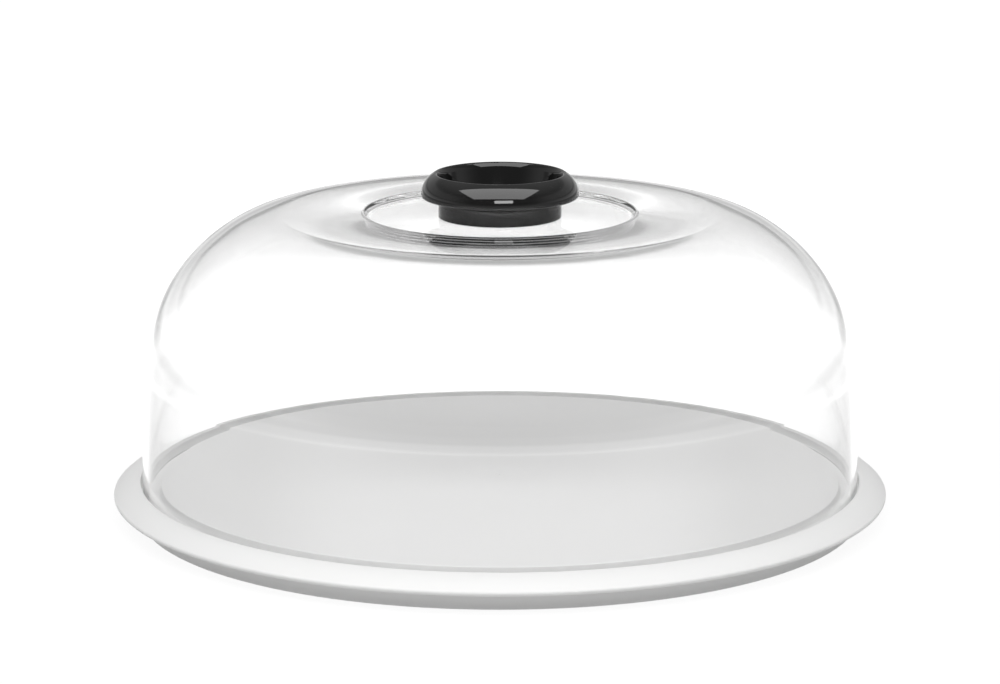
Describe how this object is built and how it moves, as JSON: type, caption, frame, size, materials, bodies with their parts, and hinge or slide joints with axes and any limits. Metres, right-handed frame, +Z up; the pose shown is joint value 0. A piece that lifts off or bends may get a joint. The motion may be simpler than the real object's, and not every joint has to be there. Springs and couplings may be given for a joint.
{
  "type": "cake dome with plate",
  "caption": "Clear round cake dome with a wide rounded shoulder and a black cup-shaped knob, standing in the groove of a white footed serving plate.",
  "frame": {"origin": "centre of the plate's foot ring, on the surface that the set stands on", "axes": "+Z up, along the axis that every piece is turned about; +X and +Y are alike"},
  "size_m": [0.36, 0.36, 0.1592],
  "materials": {
    "white_plastic": "satin moulded",
    "clear_plastic": "polished clear",
    "black_plastic": "gloss moulded",
    "stainless_steel": "plain machined"
  },
  "bodies": {
    "base": {"plate": "white_plastic"},
    "cover": {"dome": "clear_plastic", "knob": "black_plastic", "washer": "stainless_steel", "knob_screw": "stainless_steel"}
  },
  "joints": [
    {"name": "dome_lift", "type": "slide", "parent": "base", "child": "cover", "axis": [0, 0, 1], "range_m": [0, 0.16]}
  ]
}
